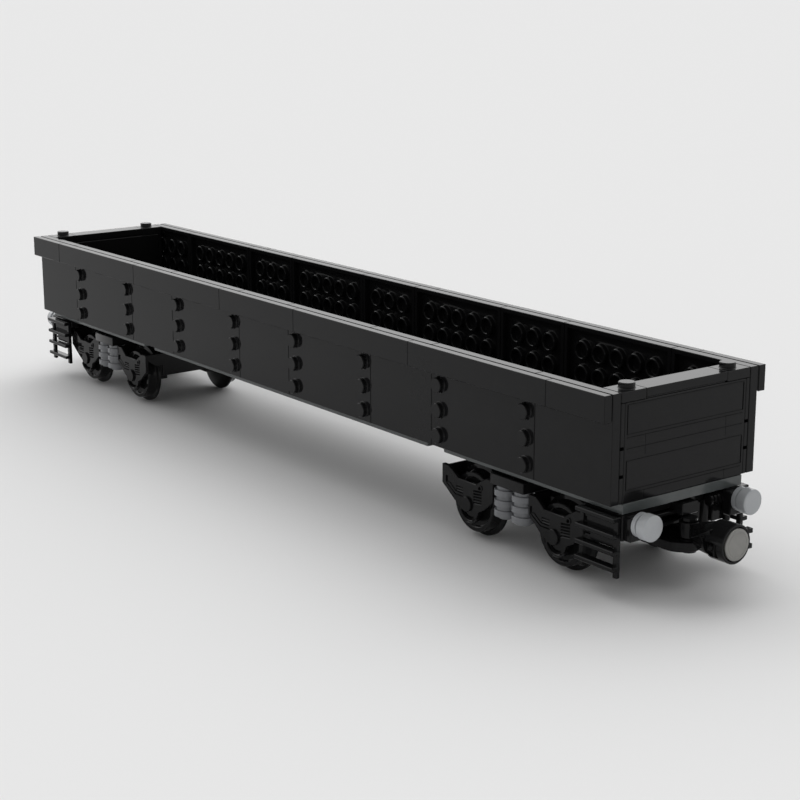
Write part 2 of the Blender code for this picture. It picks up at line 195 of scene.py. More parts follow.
def rod(low, high, radius, axis="Z", centre=(0, 0, 0), segments=24, edge=EDGE):
    """A cylinder with chamfered ends."""
    profile = [(low, radius - edge), (low + edge, radius), (high - edge, radius), (high, radius - edge)]
    return turned(profile, axis, centre, segments)


def tube(low, high, outer, inner, axis="Z", centre=(0, 0, 0), segments=24, edge=EDGE):
    """A tube with a chamfered far end."""
    profile = [
        (low, outer),
        (high - edge, outer),
        (high, outer - edge),
        (high, inner + edge),
        (high - edge, inner),
        (low, inner),
    ]
    return turned(profile, axis, centre, segments, hollow=True)


def stud(axis, centre):
    """A stud that stands on a face at centre, pointing along axis, with a fillet round its foot."""
    profile = [
        (-OVERLAP, STUD_RADIUS + 0.3),
        (0.0, STUD_RADIUS + 0.3),
        (0.12, STUD_RADIUS + 0.12),
        (0.34, STUD_RADIUS),
        (STUD_HEIGHT - 0.2, STUD_RADIUS),
        (STUD_HEIGHT, STUD_RADIUS - 0.2),
    ]
    return turned(profile, axis, centre, 40)


def socket(foot, top, centre):
    """A panel's tube along Y, which stands on its floor at foot and has fillets there, inside and out."""
    profile = [
        (foot - OVERLAP, TUBE_RADIUS + 0.35),
        (foot, TUBE_RADIUS + 0.35),
        (foot + 0.1, TUBE_RADIUS + 0.12),
        (foot + 0.35, TUBE_RADIUS),
        (top - 0.25, TUBE_RADIUS),
        (top, TUBE_RADIUS - 0.25),
        (top, STUD_RADIUS + 0.2),
        (top - 0.2, STUD_RADIUS),
        (foot + 0.3, STUD_RADIUS),
        (foot + 0.1, STUD_RADIUS - 0.1),
        (foot, STUD_RADIUS - 0.35),
        (foot - OVERLAP, STUD_RADIUS - 0.35),
    ]
    return turned(profile, "Y", centre, 36, hollow=True)


def ball(radius, centre):
    bm = bmesh.new()
    bmesh.ops.create_icosphere(bm, subdivisions=3, radius=radius, matrix=Matrix.Translation(centre))
    return shape_of(bm)


def hull(points):
    """The convex hull of the points."""
    bm = bmesh.new()
    for point in points:
        bm.verts.new(point)
    result = bmesh.ops.convex_hull(bm, input=bm.verts)
    bmesh.ops.delete(bm, geom=[v for v in result["geom_interior"] if v.is_valid], context="VERTS")
    bmesh.ops.dissolve_limit(bm, angle_limit=0.01, verts=bm.verts, edges=bm.edges)
    return shape_of(bm)


def arc(centre, radius, start, end, steps):
    """Points of an arc, with its angles in degrees."""
    angles = [math.radians(start + (end - start) * k / steps) for k in range(steps + 1)]
    return [(centre[0] + radius * math.cos(a), centre[1] + radius * math.sin(a)) for a in angles]


def band(points, width):
    """The outline of a strip of this width along a line of points."""
    line = [Vector(point) for point in points]
    steps = [(far - near).normalized() for near, far in zip(line, line[1:])]
    left, right = [], []
    for i, point in enumerate(line):
        before = steps[max(i - 1, 0)]
        after = steps[min(i, len(steps) - 1)]
        along = (before + after).normalized()
        across = Vector((-along.y, along.x)) * (width / 2 / along.dot(after))
        left.append(tuple(point + across))
        right.append(tuple(point - across))
    return left + right[::-1]


def moved(shape, offset=(0, 0, 0), turn=0.0):
    """A copy of the shape, turned about Z and then moved."""
    copy = shape.copy()
    copy.transform(Matrix.Translation(offset) @ Matrix.Rotation(turn, 4, "Z"))
    return copy


def grouped(shapes):
    """Shapes that don't touch, as one mesh."""
    bm = bmesh.new()
    for shape in shapes:
        bm.from_mesh(shape)
    return shape_of(bm)


def joined(shapes, cutters=()):
    """One mesh: the union of the shapes, less the cutters."""
    body, *others = [bpy.data.objects.new("scratch", shape) for shape in (*shapes, *cutters)]
    for obj in (body, *others):
        bpy.context.scene.collection.objects.link(obj)
    for index, other in enumerate(others):
        modifier = body.modifiers.new("join", "BOOLEAN")
        modifier.operation = "UNION" if index < len(shapes) - 1 else "DIFFERENCE"
        modifier.solver = "MANIFOLD"
        modifier.object = other
    graph = bpy.context.evaluated_depsgraph_get()
    mesh = bpy.data.meshes.new_from_object(body.evaluated_get(graph))
    for obj in (body, *others):
        bpy.data.objects.remove(obj)
    return mesh


def finished(shape):
    """The shape in metres, with its round sides smooth and its edges sharp."""
    mesh = shape.copy()
    mesh.transform(Matrix.Scale(MM, 4))
    mesh.shade_smooth()
    mesh.set_sharp_from_angle(angle=SHARP)
    return mesh


# Materials. The colours, the roughness and the plastics' IOR are chosen to give the right tones under this
# studio's light: they aren't measured, and the black's IOR is lower than such a plastic really has.

RELIEF = 0.02  # depth of the bumps


def add(tree, kind, inputs):
    """A new node. Each input has a constant, or the output of another node that feeds it."""
    node = tree.nodes.new(kind)
    for name, value in inputs.items():
        if isinstance(value, bpy.types.NodeSocket):
            tree.links.new(value, node.inputs[name])
        else:
            node.inputs[name].default_value = value
    return node


def new_material(name):
    """A material, its node tree, its shader, and its texture coordinates."""
    material = bpy.data.materials.new(name)
    material.use_nodes = True
    tree = material.node_tree
    place = tree.nodes.new("ShaderNodeTexCoord").outputs["Object"]
    return material, tree, tree.nodes["Principled BSDF"], place


def vary(tree, shader, clouds, colour, mottle, roughness):
    """Lets the colour waver with the clouds by the share mottle, and the roughness between two values."""
    tint = add(tree, "ShaderNodeValToRGB", {"Fac": clouds})
    for stop, position, change in zip(tint.color_ramp.elements, (0.3, 0.7), (-mottle, mottle)):
        stop.position = position
        stop.color = (*[c * (1 + change) for c in colour], 1)
    tree.links.new(tint.outputs["Color"], shader.inputs["Base Color"])
    ends = {"To Min": roughness[0], "To Max": roughness[1]}
    gloss = add(tree, "ShaderNodeMapRange", {"Value": clouds, **ends})
    tree.links.new(gloss.outputs["Result"], shader.inputs["Roughness"])


def relief(tree, height, strength, under=None):
    """The normal of a shallow bump, laid over another normal if there is one."""
    inputs = {"Strength": strength, "Distance": RELIEF * MM, "Height": height}
    if under:
        inputs["Normal"] = under
    return add(tree, "ShaderNodeBump", inputs).outputs["Normal"]


def moulded_plastic(name, colour, roughness, ior, mottle=0.06):
    """Injection-moulded plastic: a gloss that wavers a little, sink marks, and a fine grain."""
    material, tree, shader, place = new_material(name)
    shader.inputs["IOR"].default_value = ior
    noise = {"Vector": place, "Scale": 160.0, "Detail": 3.0}
    clouds = add(tree, "ShaderNodeTexNoise", noise).outputs["Fac"]
    vary(tree, shader, clouds, colour, mottle, (roughness * 0.8, roughness * 1.25))
    noise = {"Vector": place, "Scale": 2600.0, "Detail": 2.0}
    grain = add(tree, "ShaderNodeTexNoise", noise).outputs["Fac"]
    normal = relief(tree, clouds, 0.12, relief(tree, grain, 0.05))
    tree.links.new(normal, shader.inputs["Normal"])
    return material


def nickel_plate(name, colour, roughness):
    """Plated metal with fine turning marks round the X axis."""
    material, tree, shader, place = new_material(name)
    shader.inputs["Metallic"].default_value = 1.0
    wave = {"Vector": place, "Scale": 900.0, "Distortion": 1.5, "Detail": 2.0}
    rings = add(tree, "ShaderNodeTexWave", wave)
    rings.wave_type = "RINGS"
    rings.rings_direction = "X"
    tree.links.new(relief(tree, rings.outputs["Fac"], 0.08), shader.inputs["Normal"])
    noise = {"Vector": place, "Scale": 500.0, "Detail": 4.0}
    clouds = add(tree, "ShaderNodeTexNoise", noise).outputs["Fac"]
    vary(tree, shader, clouds, colour, 0.06, (roughness * 0.85, roughness * 1.2))
    return material


BLACK = "black_plastic"
GREY = "bluish_grey_plastic"
LIGHT_GREY = "light_grey_plastic"
NICKEL = "nickel_plate"
SPRING_PAINTED_SHADE_GREY = "light_grey_painted_shade"  # a darker copy of the light grey plastic, with painted shade for the springs under the wagon; the springs stay in the light grey slot
finishes = {
    BLACK: moulded_plastic("black_moulded", (0.0090, 0.0090, 0.0094), 0.09, 1.24),
    GREY: moulded_plastic("bluish_grey_moulded", (0.078, 0.086, 0.086), 0.16, 1.45),
    LIGHT_GREY: moulded_plastic("light_grey_moulded", (0.44, 0.455, 0.47), 0.18, 1.45, 0.03),
    SPRING_PAINTED_SHADE_GREY: moulded_plastic("light_grey_moulded_painted_shade", (0.185, 0.19, 0.20), 0.18, 1.45, 0.03),
    NICKEL: nickel_plate("nickel_plated", (0.26, 0.257, 0.245), 0.42),
}


# The body's pieces


def wall_panel(studs):
    """A plate on its side, outward face to -Y, with tubes in its hollow. A studded one has end studs."""
    half = studs * PITCH / 2
    outer, inner = GAP - PLATE, -GAP
    shell = block((GAP - half, outer, GAP), (half - GAP, inner, WALL_HEIGHT - GAP))
    floor = outer + SKIN
    pocket = block((SHELL - half, floor, SHELL), (half - SHELL, PLATE, WALL_HEIGHT - SHELL), 0)
    parts = [joined([shell], [pocket])]
    for column in range(1, studs):
        for row in range(1, 4):
            centre = (column * PITCH - half, 0, row * PITCH)
            parts.append(socket(floor, inner, centre))
    if studs == STUDDED:
        for x in (PITCH / 2 - half, half - PITCH / 2):
            parts += [stud("-Y", (x, outer, (row + 0.5) * PITCH)) for row in range(3)]
    return joined(parts)


def tile(low, high, axis, groove=0.4, inset=0.3):
    """A smooth tile between two corners, with a groove round its foot.

    The foot is at the low end of axis, or at the high end of -axis.
    """
    low, high = Vector(low), Vector(high)
    along = "XYZ".index(axis[-1])
    face_low, face_high = low.copy(), high.copy()
    foot_low = low + Vector((inset,) * 3)
    foot_high = high - Vector((inset,) * 3)
    if axis[0] == "-":
        face_high[along] -= groove
        foot_low[along] = face_high[along] - OVERLAP
        foot_high[along] = high[along]
    else:
        face_low[along] += groove
        foot_high[along] = face_low[along] + OVERLAP
        foot_low[along] = low[along]
    return joined([block(face_low, face_high), block(foot_low, foot_high, 0)])


def rim_rail():
    """The boards along the top of a side wall, outward face to -Y."""
    boards = []
    x = HALF_LENGTH
    for studs in RIM_STUDS:
        low = (x - studs * PITCH + GAP / 2, GAP - PLATE, WALL_HEIGHT - RIM_DEPTH + GAP)
        high = (x - GAP / 2, -GAP, WALL_HEIGHT - GAP)
        boards.append(tile(low, high, "-Y"))
        x -= studs * PITCH
    return grouped(boards)


def face_bead(across, heights):
    """A thin bead that stands a little proud of an end wall's face."""
    return block((-OVERLAP, across[0], heights[0]), (-GAP + 0.2, across[1], heights[1]), 0)


def end_wall():
    """The courses under the end cap, outward face to +X at x = 0.

    Beads mark the seams and frame the tall courses, and slits part the bricks of the low ones.
    """
    thin = 0.08  # half the width of a bead
    heights = (PLATE, BRICK, PLATE, PLATE, BRICK)
    half = HALF_BEAM - TIGHT
    top = sum(heights) - TIGHT
    shapes = [block((GAP - PITCH, -half, TIGHT), (-GAP, half, top), 0.2)]
    slits = []
    z = 0.0
    for height in heights:
        reach = half - 1.0
        if height == BRICK:
            levels = (z + 0.5, z + height - 0.7)
            for level in levels:
                shapes.append(face_bead((-reach, reach), (level - thin, level + thin)))
            for y in (-reach, reach):
                shapes.append(face_bead((y - thin, y + thin), levels))
        else:
            shapes.append(face_bead((-reach, reach), (z + height - 0.5, z + height - 0.35)))
            for y in (-2 * PITCH, 2 * PITCH):
                slits.append(block((-0.5, y - 0.06, z + 0.2), (1, y + 0.06, z + height - 0.2), 0))
        z += height
    parts = [joined(shapes, slits)]
    for side in (-1, 1):
        y = sorted((side * (HALF_BEAM + TIGHT), side * (WALL_INNER - GAP)))
        flange = block((GAP - PITCH, y[0], GAP), (-GAP, y[1], top), 0.2)
        slots = []
        for slot_z in (PITCH, 2 * PITCH):
            slots.append(block((-1.6, y[0] - 1, slot_z - 0.5), (1, y[1] + 1, slot_z + 0.5), 0))
        parts.append(joined([flange], slots))
    return grouped(parts)


def end_cap():
    """The top course of an end wall: a long tile between two plates that keep their studs."""
    end = 2 * PITCH - TIGHT
    parts = [tile((GAP - PITCH, -end, 0), (-GAP, end, PLATE - GAP), "Z", 0.5, 0.5)]
    for side in (-1, 1):
        y = sorted((side * (2 * PITCH + TIGHT), side * (WALL_INNER - GAP)))
        plate = block((GAP - PITCH, y[0], TIGHT), (-GAP, y[1], PLATE - GAP), 0.2)
        parts.append(joined([plate, stud("Z", (-PITCH / 2, side * 2.5 * PITCH, PLATE - GAP))]))
    return grouped(parts)


def deck():
    """The cargo floor, tiled with grooves between the tiles, z = 0 at the wall foot."""
    low, high = box("deck")
    half_x = high.x
    bed = block((-half_x, low.y, GAP), (half_x, high.y, 1.4), 0)
    count = round(2 * half_x / (2 * PITCH))
    rows = ((low.y, -PITCH), (-PITCH, PITCH), (PITCH, high.y))
    tiles = []
    for column in range(count):
        x = -count * PITCH + 2 * PITCH * column
        for y_low, y_high in rows:
            x_ends = (max(x, -half_x), min(x + 2 * PITCH, half_x))
            corner = (x_ends[0] + TIGHT, y_low + TIGHT, 1.2)
            tiles.append(block(corner, (x_ends[1] - TIGHT, y_high - TIGHT, PLATE - GAP), 0.2))
    return joined([bed, *tiles])


def base_plate(half):
    """A studless plate of this half length, z = 0 at its foot, hollow underneath."""
    y = HALF_BEAM - GAP
    top = PLATE - GAP
    shell = block((GAP - half, -y, GAP), (half - GAP, y, top))
    pocket = block((SHELL - half, SHELL - y, -1), (half - SHELL, y - SHELL, top - SKIN), 0)
    return joined([shell], [pocket])


def base_lining(half):
    """The dark roof and tubes inside the hollow of a base plate."""
    edge = SHELL + GAP
    roof = PLATE - SKIN - 2 * GAP
    lining = [block((edge - half, edge - HALF_BEAM + GAP, 1.2), (half - edge, HALF_BEAM - GAP - edge, roof))]
    for column in range(1, round(2 * half / PITCH)):
        for row in range(-2, 3):
            centre = (column * PITCH - half, row * PITCH, 0)
            lining.append(tube(-1.2 - OVERLAP, -2 * GAP, TUBE_RADIUS, STUD_RADIUS, "-Z", centre, 20))
    return joined(lining)


def headstock():
    """The beam under an end, with its buffer blocks, the brackets behind the buffers, and the draft gear.

    The end's face is at x = 0 and the wall's foot at z = 0.
    """
    beam_top = -PLATE - GAP
    beam_foot = GAP - 2 * PLATE
    block_foot = box("headstock_front")[0].z - WALL_FOOT
    edge = HALF_BEAM - GAP
    inner = 2 * PITCH + 1.8
    shapes = [block((GAP - PITCH, -edge, beam_foot), (-3.4, edge, beam_top), 0.3)]
    for side in (-1, 1):
        y = sorted((side * edge, side * inner))
        shapes.append(block((GAP - PITCH, y[0], block_foot), (-GAP, y[1], beam_top - 0.1), 0.3))
        y = sorted((side * edge, side * (edge - PLATE)))
        shapes.append(block((GAP - 2 * PITCH, y[0], beam_foot), (OVERLAP - PITCH, y[1], beam_top)))
        y = sorted((side * (edge - 0.3), side * (inner - 1.6)))
        shapes.append(block((-OVERLAP, y[0], block_foot + 0.4), (BRACKET_FACE, y[1], beam_top - 0.1), 0.3))
    return joined([*shapes, *draft_gear(beam_foot)])


def draft_gear(beam_foot):
    """The small parts that hang under the beam between the buffers, placed as in headstock().

    The flat slab's back edge, at x = -12, runs up to 1.34 mm into a rib of the bolster's tongue.
    """
    roof = beam_foot + OVERLAP
    shapes = [
        block((-7.4, 2.8, -12.3), (-2.2, 9.2, roof), 0.25),
        block((-6.0, -1.8, -7.4), (1.4, 4.6, roof + 2.0), 0.25),
        block((-12.0, -9.6, -11.1), (-2.6, 3.4, -9.8), 0.3),
        block((-7.6, -13.4, -7.4), (-1.4, -1.4, -6.3), 0.2),
        block((-7.0, -9.6, -11.0), (-5.2, -7.4, roof), 0.2),
        rod(-13.4, roof, 2.3, "Z", (-4.6, 12.4, 0), 32),
        block((-7.2, 13.6, -12.8), (-1.6, 18.4, -8.0), 0.25),
        block((-6.0, 13.6, -9.2), (-2.6, 18.2, roof), 0.2),
        rod(-13.2, -8.2, 1.15, "Z", (-1.0, 19.0, 0), 24, 0.25),
    ]
    rib, gap = 1.75, 1.3
    profile = [(11.4, gap)]
    for step in range(5):
        y = 11.6 + 1.4 * step
        profile += [(y, rib), (y + 0.8, rib), (y + 0.9, gap), (y + 1.3, gap)]
    shapes.append(turned(profile, "Y", (-1.6, 0, -5.9), 28))
    return shapes


def buffer_plate():
    """The stud and the round plate behind a buffer's cap, along +X, with a groove in front of the plate."""
    start = BRACKET_FACE - GAP
    end = STUD_HEIGHT + PLATE
    rim = end - 0.6
    profile = [
        (0.6, STUD_RADIUS),
        (start, STUD_RADIUS),
        (start, 3.6 - EDGE),
        (start + EDGE, 3.6),
        (rim - EDGE, 3.6),
        (rim, 3.6 - EDGE),
        (rim, 3.1),
        (end - 0.02, 3.1),
    ]
    return turned(profile, "X", segments=48)


def buffer_cap():
    """A buffer's cap, along +X, with a rounded rim and a shallow step round its face."""
    start = STUD_HEIGHT + PLATE
    end = start + PLATE
    profile = [
        (start, 3.3),
        (start, 3.85 - EDGE),
        (start + EDGE, 3.85),
        (end - 0.45, 3.85),
        (end - 0.2, 3.78),
        (end - 0.05, 3.6),
        (end - 0.05, 3.3),
        (end, 3.25),
    ]
    return turned(profile, "X", segments=48)


def ladder():
    """A corner ladder with its steps facing -Y, z = 0 on the ground."""
    low, high = box("ladder_front_right")
    half = PITCH - GAP
    spacing = 4.8
    steps = [high.z - spacing * step for step in range(4)]
    plate_x = half - 0.2
    openings = [
        block((0.6 - half, -4, steps[1] - 0.2), (2.8 - half, 1, steps[1] + 2.0), 0),
        block((0.6 - half, -4, steps[2] + 1.7), (4.3 - half, 1, steps[1] - 0.6), 0),
        block((0.6 - half, -4, steps[2] - 0.4), (4.3 - half, 1, steps[2] + 1.2), 0),
    ]
    plate = block((-plate_x, -1.0, WALL_FOOT - 13.0), (plate_x, -GAP, high.z - 0.3))
    shapes = [joined([plate], openings)]
    for side in (-1, 1):
        x = sorted((side * (half - 0.1), side * (half - 1.8)))
        shapes.append(block((x[0], -1.5, low.z), (x[1], -0.2, high.z - 0.1)))
    for z in steps:
        shapes.append(block((-half, -3.3, z - 1.3), (half, -0.3, z), 0.2))
    return joined(shapes)


# The bogie's pieces, about its pivot, with the coupler end to +X


def bolster():
    """The plate that joins the wheel holders, its crossbeam, and the tongue that carries the coupler."""
    plate_x = 4 * PITCH - 0.2
    plate_y = 2 * PITCH - 0.2
    beam_x = PITCH - 0.2
    beam_y = WALL_INNER - GAP
    horn = beam_x + 2.0
    web_x = 4 * PITCH + 0.2
    tongue_y = 6.4
    tip_x = COUPLER_X - BOGIE_X
    half_beam = [(-horn, 2.7 - beam_y), (0.6 - beam_x, -beam_y), (beam_x, -beam_y), (beam_x, beam_y - 6)]
    beam = half_beam + [(horn, beam_y - 6), (horn, beam_y - 2.7), (beam_x - 0.6, beam_y), (-beam_x, beam_y)]
    beam += [(-beam_x, 6 - beam_y), (-horn, 6 - beam_y)]
    tongue = [(web_x, -tongue_y), (tip_x - 3.0, -tongue_y)]
    tongue += arc((tip_x - 3.0, 0), tongue_y, -80, 80, 16)
    tongue += [(tip_x - 3.0, tongue_y), (web_x, tongue_y)]
    tongue_top = TONGUE_FOOT + 2.8
    shapes = [
        block((-plate_x, -plate_y, BOLSTER_FOOT), (plate_x, plate_y, BOLSTER_TOP)),
        prism(beam, CROSSBEAM_FOOT, BOLSTER_TOP),
        block((plate_x - OVERLAP, -tongue_y, BOLSTER_FOOT), (web_x + 2.2, tongue_y, BOLSTER_TOP)),
        block((web_x, -tongue_y, TONGUE_FOOT), (web_x + 2.2, tongue_y, BOLSTER_FOOT + 1)),
        prism(tongue, TONGUE_FOOT, tongue_top),
        rod(tongue_top - OVERLAP, tongue_top + 0.4, 2.8, "Z", (tip_x, 0, 0)),
    ]
    rib_x, rib_foot = web_x + 1.8, tongue_top - 0.3
    rib = [(rib_x, rib_foot), (web_x + 8.0, rib_foot), (rib_x, tongue_top + 6.0)]
    for side in (-1, 1):
        y = sorted((side * (tongue_y - 0.3), side * (tongue_y - 1.5)))
        shapes.append(prism(rib, *y, "Y", 0.08))
    cutters = [
        rod(0, 2 * BOLSTER_TOP, 3.4, segments=32),
        rod(0, BOLSTER_TOP, 1.8, "Z", (tip_x, 0, 0), 24),
    ]
    return joined(shapes, cutters)


def louvre(start, end, face):
    """A cutter for a louvre in a face towards -Y, deepest at its top edge and sloping out to its foot."""
    profile = ((face + 0.55, 0.2), (face + 0.55, 0.1), (face - 0.3, 0.2), (face - 0.3, -0.7))
    return hull([(x, y, z + rise) for x, z in (start, end) for y, rise in profile])


def side_frame(reach):
    """One side frame, about the axle's middle, outward face to -Y. Its left arm ends this far out."""
    inner, outer = 22.0, 23.4
    top = HOLDER_TOP - AXLE_HEIGHT
    low_half = [(7.3, -0.6), (4.6, -2.1), (3.9, -4.9), (1.4, -6.5)]
    outline = [(3.4, 6.7), (5.5, 8.2), (8.4, top), (11.5, top), (11.5, 2.9), *low_half]
    outline += [(-x, z) for x, z in reversed(low_half)]
    outline += [(-reach, 3.6), (-reach, top), (3.1 - reach, top), (-5.2, 6.7)]
    ring = [(outer - OVERLAP, 0.95), (outer + 0.25, 0.95), (outer + 0.25, 0.6), (outer - OVERLAP, 0.6)]
    shapes = [
        prism(outline, -outer, -inner, "Y", 0.18),
        prism(band(arc((1.1, -0.6), 4.9, 205, 318, 14), 0.8), -outer - 0.8, -inner - 0.3, "Y", 0.2),
        rod(outer - OVERLAP, outer + 0.75, 2.45, "-Y", (-0.8, 0, -0.5), 32, 0.15),
        turned(ring, "-Y", (5.6, 0, 6.1), 20, hollow=True),
    ]
    depth = outer - 0.8
    far = -outer - 2
    outer_line = [(-11.2, 6.3), (-11.2, 4.2), (-6.7, 1.4), (-2.8, 1.4)]
    inner_line = [(-9.4, 6.3), (-9.4, 4.6), (-6.4, 2.5), (-2.8, 2.4)]
    pocket = [(-11.2, 4.4), (-9.4, 4.4), (-9.4, 6.4), (-11.2, 6.4)]
    cutters = [
        prism(band(outer_line, 0.4), far, -depth, "Y", 0),
        prism(band(inner_line, 0.4), far, -depth, "Y", 0),
        prism(pocket, far, -outer + 0.4, "Y", 0),
        prism(band(arc((1.1, -0.6), 3.8, 222, 292, 12), 0.75), far, -inner - 0.2, "Y", 0),
        rod(inner + 0.4, outer + 2, 0.5, "-Y", (5.3, 0, 5.9), 16, 0.05),
    ]
    louvres = (
        # middle, half length, tilt, height of the first, how many, spacing
        (-4.4, 1.7, 0.0, 4.1, 2, 0.9),
        (4.2, 2.0, 0.22, 4.75, 5, 0.95),
    )
    for x, half, tilt, start, count, spacing in louvres:
        for step in range(count):
            z = start - spacing * step
            cutters.append(louvre((x - half, z - tilt), (x + half, z + tilt), -outer))
    return joined(shapes, cutters)


def wheel_holder():
    """The roof, end walls, side frames and bearing blocks round one axle, about its middle, springs to +X."""
    roof_top = HOLDER_TOP - AXLE_HEIGHT
    roof_foot = roof_top - 1.8
    roof_y = 2 * PITCH - 0.2
    end_x = 11.5
    frame_inner = 22.0
    arch_y = 15.6
    arch_top = 4.8
    end_half = [(arch_y, 0.6), (arch_y, arch_top), (18.6, arch_top), (frame_inner + 0.5, 7.6)]
    end_half.append((frame_inner + 0.5, roof_top))
    end_outline = end_half + [(-y, z) for y, z in reversed(end_half)]
    shapes = [block((-end_x, -roof_y, roof_foot), (end_x, roof_y, roof_top))]
    for side, turn, reach in ((-1, 0.0, 13.3), (1, HALF_TURN, 12.1)):
        x = sorted((side * end_x, side * (end_x - 1.0)))
        shapes.append(prism(end_outline, *x, "X"))
        shapes.append(moved(side_frame(reach), turn=turn))
        y = sorted((side * 9.0, side * 13.0))
        shapes.append(block((-3.0, y[0], -3.0), (3.0, y[1], roof_foot + 0.5)))
    bore = rod(-roof_y, roof_y, 1.8, "Y", segments=24, edge=0.1)
    return joined(shapes, [bore])


def spring_pair():
    """Two stacks of small round plates, studs down, under one end of the crossbeam."""
    top = box("spring_pair_front_right")[1].z
    stacks = []
    for side in (-1, 1):
        profile = []
        for plate in range(3):
            upper = top - plate * PLATE
            profile += [
                (upper, 3.1),
                (upper - 1.2, 3.1),
                (upper - 1.2, 3.85 - EDGE),
                (upper - 1.2 - EDGE, 3.85),
                (upper - PLATE + EDGE, 3.85),
                (upper - PLATE, 3.85 - EDGE),
            ]
        foot = profile[-1][0]
        profile += [(foot, STUD_RADIUS), (foot - 0.8, STUD_RADIUS), (foot - 0.9, STUD_RADIUS - EDGE)]
        stacks.append(turned(profile[::-1], centre=(side * PITCH / 2, 0, 0), segments=40))
    return grouped(stacks)


def wheelset():
    """Two flanged wheels on their axle, along Y through the origin."""
    rim = FLANGE_RADIUS
    tread = rim - 1.6
    wheel = [
        (15.6, 1.5),
        (15.6, 3.0),
        (15.8, 3.2),
        (16.4, 3.6),
        (16.2, 7.6),
        (16.4, 8.2),
        (16.4, rim - 0.4),
        (16.55, rim - 0.1),
        (16.7, rim),
        (17.35, rim),
        (17.5, rim - 0.12),
        (17.8, tread + 0.2),
        (18.1, tread),
        (21.0, tread - 0.25),
        (21.3, tread - 0.55),
        (21.3, 8.2),
        (21.15, 8.0),
        (20.6, 7.6),
        (20.5, 4.2),
        (20.7, 3.2),
        (21.4, 2.8),
        (21.6, 2.5),
        (21.6, 1.2),
        (21.2, 1.0),
    ]
    profile = [(-y, radius) for y, radius in reversed(wheel)] + wheel
    return turned(profile, "Y", segments=72)


# The coupler's pieces, about its pin


def coupler():
    """An eye round the pin, an arm that widens to the front, and the drum that holds the magnet.

    The drum has a window on each side, with a ball and a bar behind it.
    """
    eye_foot, eye_top = TONGUE_FOOT + 3.6, TONGUE_FOOT + 8.2
    drum_x = 11.8
    drum_radius = 5.75
    front = MAGNET_FACE - 0.5 - COUPLER_X
    centre = (0, 0, COUPLER_AXIS)
    neck = [(2.3, y, z) for y in (-2.2, 2.2) for z in (eye_foot + 0.7, eye_top - 0.2)]
    belly = [(5.8, y, COUPLER_AXIS - 4.3) for y in (-2.2, 2.2)]
    rim = [(drum_x, y, z) for y, z in arc((0, COUPLER_AXIS), drum_radius - 0.35, 0, 345, 23)]
    shapes = [
        rod(eye_foot, eye_top, 2.9, segments=32),
        hull(neck + belly + rim),
        rod(drum_x - 0.5, front, drum_radius, "X", centre, 56, 0.2),
    ]
    fin_x = drum_x + 1.0
    fin = [(5.6, eye_top - 2.6), (fin_x, eye_top + 0.4), (fin_x, eye_top + 1.7), (6.4, eye_top - 2.0)]
    for side in (-1, 1):
        y = sorted((side * 3.2, side * 5.4))
        shapes.append(prism(fin, *y, "Y", 0.08))
    for z in (COUPLER_AXIS + 2.0, COUPLER_AXIS - 2.5):
        shapes.append(block((front - 2.4, 4.6, z), (front - 0.3, 7.0, z + 1.4), 0.12))
    cutters = [
        rod(0, 2 * eye_top, 1.8, segments=24, edge=0.1),
        turned([(front - 3.4, 5.05), (front - 0.2, 5.05), (2 * front, 5.05)], "X", centre, 56),
    ]
    for side in (-1, 1):
        y = sorted((side * 2.6, side * 9.0))
        low = (drum_x - 1.8, y[0], COUPLER_AXIS - 3.9)
        high = (drum_x + 3.8, y[1], COUPLER_AXIS + 0.6)
        cutters.append(block(low, high, 0.3))
    details = [joined(shapes, cutters)]
    for side in (-1, 1):
        y = sorted((side * 2.2, side * 4.9))
        details.append(ball(1.1, (drum_x + 0.4, side * 3.6, COUPLER_AXIS - 1.5)))
        low = (drum_x + 2.0, y[0], COUPLER_AXIS - 3.8)
        high = (drum_x + 2.6, y[1], COUPLER_AXIS + 1.2)
        details.append(block(low, high, 0.1))
    return joined(details)


def magnet():
    """A round magnet along +X, its face at x = 0, with a chamfered rim."""
    radius, thickness = 4.7, 3.6
    profile = [
        (-thickness, radius - 0.2),
        (0.2 - thickness, radius),
        (-0.3, radius),
        (-0.1, radius - 0.1),
        (0, radius - 0.3),
        (0, radius - 1.0),
        (-0.06, radius - 1.06),
        (-0.06, radius - 1.14),
        (0, radius - 1.2),
    ]
    return turned(profile, "X", segments=56)


# The assembly


def put(name, mesh, slot, body, place, turn=0.0, nodes=(), finish=None):
    """Adds a piece that rides on a body and stands for these CAD nodes.

    It has its material slot's finish, unless another is named.
    """
    piece = bpy.data.objects.new(name, mesh)
    bpy.context.scene.collection.objects.link(piece)
    mesh.materials.clear()
    mesh.materials.append(finishes[finish or slot])
    piece.location = Vector(place) * MM
    piece.rotation_euler = (0, 0, turn)
    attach(piece, body)
    if nodes:
        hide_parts(*nodes)
    return piece


ENDS = (("front", 1, 0.0), ("rear", -1, HALF_TURN))
SIDES = (("right", -1, 0.0), ("left", 1, HALF_TURN))
BODY = "wagon_body"


def build_walls():
    panels = {studs: finished(wall_panel(studs)) for studs in (PLAIN, STUDDED)}
    rail = finished(rim_rail())
    for side, sign, turn in SIDES:
        for number in range(1, PANELS + 1):
            node = f"side_panel_{side}_{number}"
            low, high = box(node)
            studs = round((high.x - low.x) / PITCH)
            place = ((low.x + high.x) / 2, sign * WALL_INNER, WALL_FOOT)
            put(f"{node}_plate", panels[studs], BLACK, BODY, place, turn, [node])
        node = f"rim_rail_{side}"
        put(f"{node}_tiles", rail, BLACK, BODY, (0, sign * WALL_OUTER, WALL_FOOT), turn, [node])


